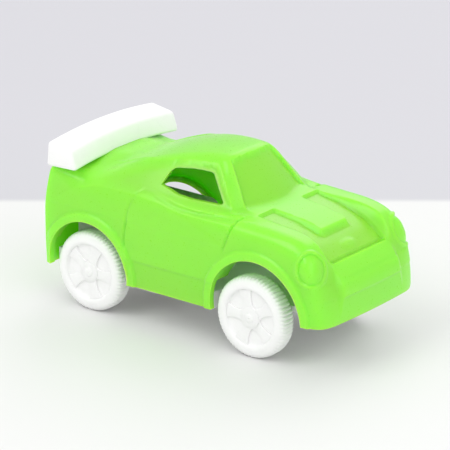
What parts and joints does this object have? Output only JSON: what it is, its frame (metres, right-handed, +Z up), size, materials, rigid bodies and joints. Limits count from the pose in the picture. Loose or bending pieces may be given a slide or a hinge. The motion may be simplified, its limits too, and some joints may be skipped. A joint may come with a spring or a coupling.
{
  "type": "pull back car",
  "caption": "Toy coupe with a moulded hollow body, clip-on rear wing, ribbed spoked wheels on steel axles and a geared spring motor on the rear axle.",
  "frame": {"origin": "on the floor under the middle of the car's bounding box", "axes": "+X forward, +Y to the car's left, +Z up; wheels stand on z = 0"},
  "size_m": [0.0762, 0.036, 0.0395],
  "materials": {
    "lime_plastic": "satin moulded lime green, slightly translucent",
    "white_plastic": "satin moulded white",
    "gear_plastic": "natural moulded acetal",
    "motor_plastic": "natural moulded white",
    "steel": "drawn bright steel",
    "spring_steel": "oiled spring strip",
    "brass": "turned brass"
  },
  "bodies": {
    "car": {"body_shell": "lime_plastic", "rear_wing": "white_plastic", "chassis": "white_plastic", "chassis_screws": "steel", "motor_case": "motor_plastic", "motor_cover": "motor_plastic", "motor_screws": "steel", "clutch_pin": "steel", "reduction_pin": "steel", "drum_arbor": "steel", "mainspring": "spring_steel"},
    "front_wheels": {"front_axle": "steel", "front_left_wheel": "white_plastic", "front_right_wheel": "white_plastic"},
    "rear_wheels": {"rear_axle": "steel", "rear_left_wheel": "white_plastic", "rear_right_wheel": "white_plastic", "axle_pinion": "brass"},
    "clutch": {"clutch_gear": "gear_plastic"},
    "reduction": {"reduction_gear": "gear_plastic"},
    "drum": {"spring_drum": "gear_plastic", "drum_lid": "gear_plastic"}
  },
  "joints": [
    {"name": "front_axle_spin", "type": "hinge", "parent": "car", "child": "front_wheels", "pos_m": [0.018, 0, 0.009], "axis": [0, 1, 0], "continuous": true},
    {"name": "rear_axle_spin", "type": "hinge", "parent": "car", "child": "rear_wheels", "pos_m": [-0.026, 0, 0.009], "axis": [0, 1, 0], "continuous": true},
    {"name": "clutch_gear_spin", "type": "hinge", "parent": "car", "child": "clutch", "pos_m": [-0.03052, 0, 0.01157], "axis": [0, 1, 0], "continuous": true},
    {"name": "reduction_gear_spin", "type": "hinge", "parent": "car", "child": "reduction", "pos_m": [-0.02639, 0, 0.01747], "axis": [0, 1, 0], "continuous": true},
    {"name": "drum_spin", "type": "hinge", "parent": "car", "child": "drum", "pos_m": [-0.0185, 0, 0.0146], "axis": [0, 1, 0], "continuous": true}
  ],
  "couplings": [
    {"joint": "clutch_gear_spin", "follows": "rear_axle_spin", "ratio": -0.85714},
    {"joint": "reduction_gear_spin", "follows": "rear_axle_spin", "ratio": 0.54545},
    {"joint": "drum_spin", "follows": "rear_axle_spin", "ratio": -0.17045}
  ]
}
